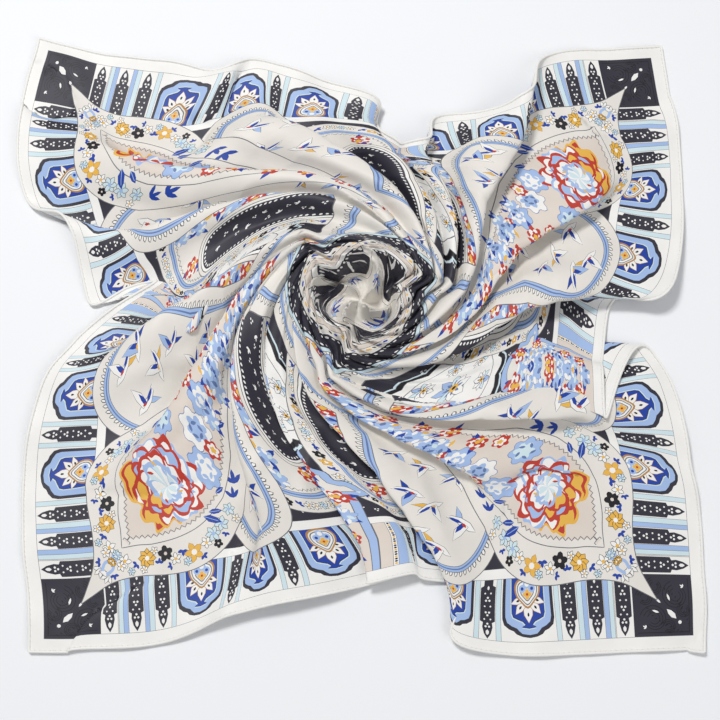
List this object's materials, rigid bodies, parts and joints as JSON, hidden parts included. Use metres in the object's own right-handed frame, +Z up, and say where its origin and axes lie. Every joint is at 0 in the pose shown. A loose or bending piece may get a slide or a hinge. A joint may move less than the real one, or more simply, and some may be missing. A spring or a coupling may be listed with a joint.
{
  "type": "silk square scarf",
  "caption": "Printed silk square scarf laid flat with its centre wound into a spiral rosette, flat corner lobes and rolled hems.",
  "frame": {"origin": "on the table under the middle of the wound rosette", "axes": "+Z up, -Y towards the front edge of the laid scarf, +X to its right"},
  "size_m": [0.7287, 0.6682, 0.05],
  "materials": {
    "printed_silk_twill": "satin",
    "rolled_hem_silk": "satin"
  },
  "bodies": {
    "root": {"flap_front": "printed_silk_twill", "flap_left": "printed_silk_twill", "flap_right_lower": "printed_silk_twill", "flap_right_upper": "printed_silk_twill", "hem_flap_front": "rolled_hem_silk", "hem_flap_left": "rolled_hem_silk", "hem_flap_right_lower": "rolled_hem_silk", "hem_flap_right_upper": "rolled_hem_silk", "hem_lobe_back_left": "rolled_hem_silk", "hem_lobe_back_right": "rolled_hem_silk", "hem_lobe_front_left": "rolled_hem_silk", "hem_lobe_front_right": "rolled_hem_silk", "hem_side_back_left": "rolled_hem_silk", "hem_side_back_right": "rolled_hem_silk", "lobe_back_left": "printed_silk_twill", "lobe_back_right": "printed_silk_twill", "lobe_front_left": "printed_silk_twill", "lobe_front_right": "printed_silk_twill", "rosette_heart": "printed_silk_twill", "rosette_inner_1": "printed_silk_twill", "rosette_inner_2": "printed_silk_twill", "rosette_rim_1": "printed_silk_twill", "rosette_rim_2": "printed_silk_twill", "rosette_rim_3": "printed_silk_twill", "side_back_left": "printed_silk_twill", "side_back_right": "printed_silk_twill", "spiral_fold_01": "printed_silk_twill", "spiral_fold_02": "printed_silk_twill", "spiral_fold_03": "printed_silk_twill", "spiral_fold_04": "printed_silk_twill", "spiral_fold_05": "printed_silk_twill", "spiral_fold_06": "printed_silk_twill", "spiral_fold_07": "printed_silk_twill", "spiral_fold_08": "printed_silk_twill", "spiral_fold_09": "printed_silk_twill", "spiral_fold_10": "printed_silk_twill", "spiral_fold_11": "printed_silk_twill", "spiral_fold_12": "printed_silk_twill", "spiral_fold_13": "printed_silk_twill", "spiral_fold_14": "printed_silk_twill", "spiral_fold_15": "printed_silk_twill", "spiral_fold_16": "printed_silk_twill"}
  },
  "joints": []
}
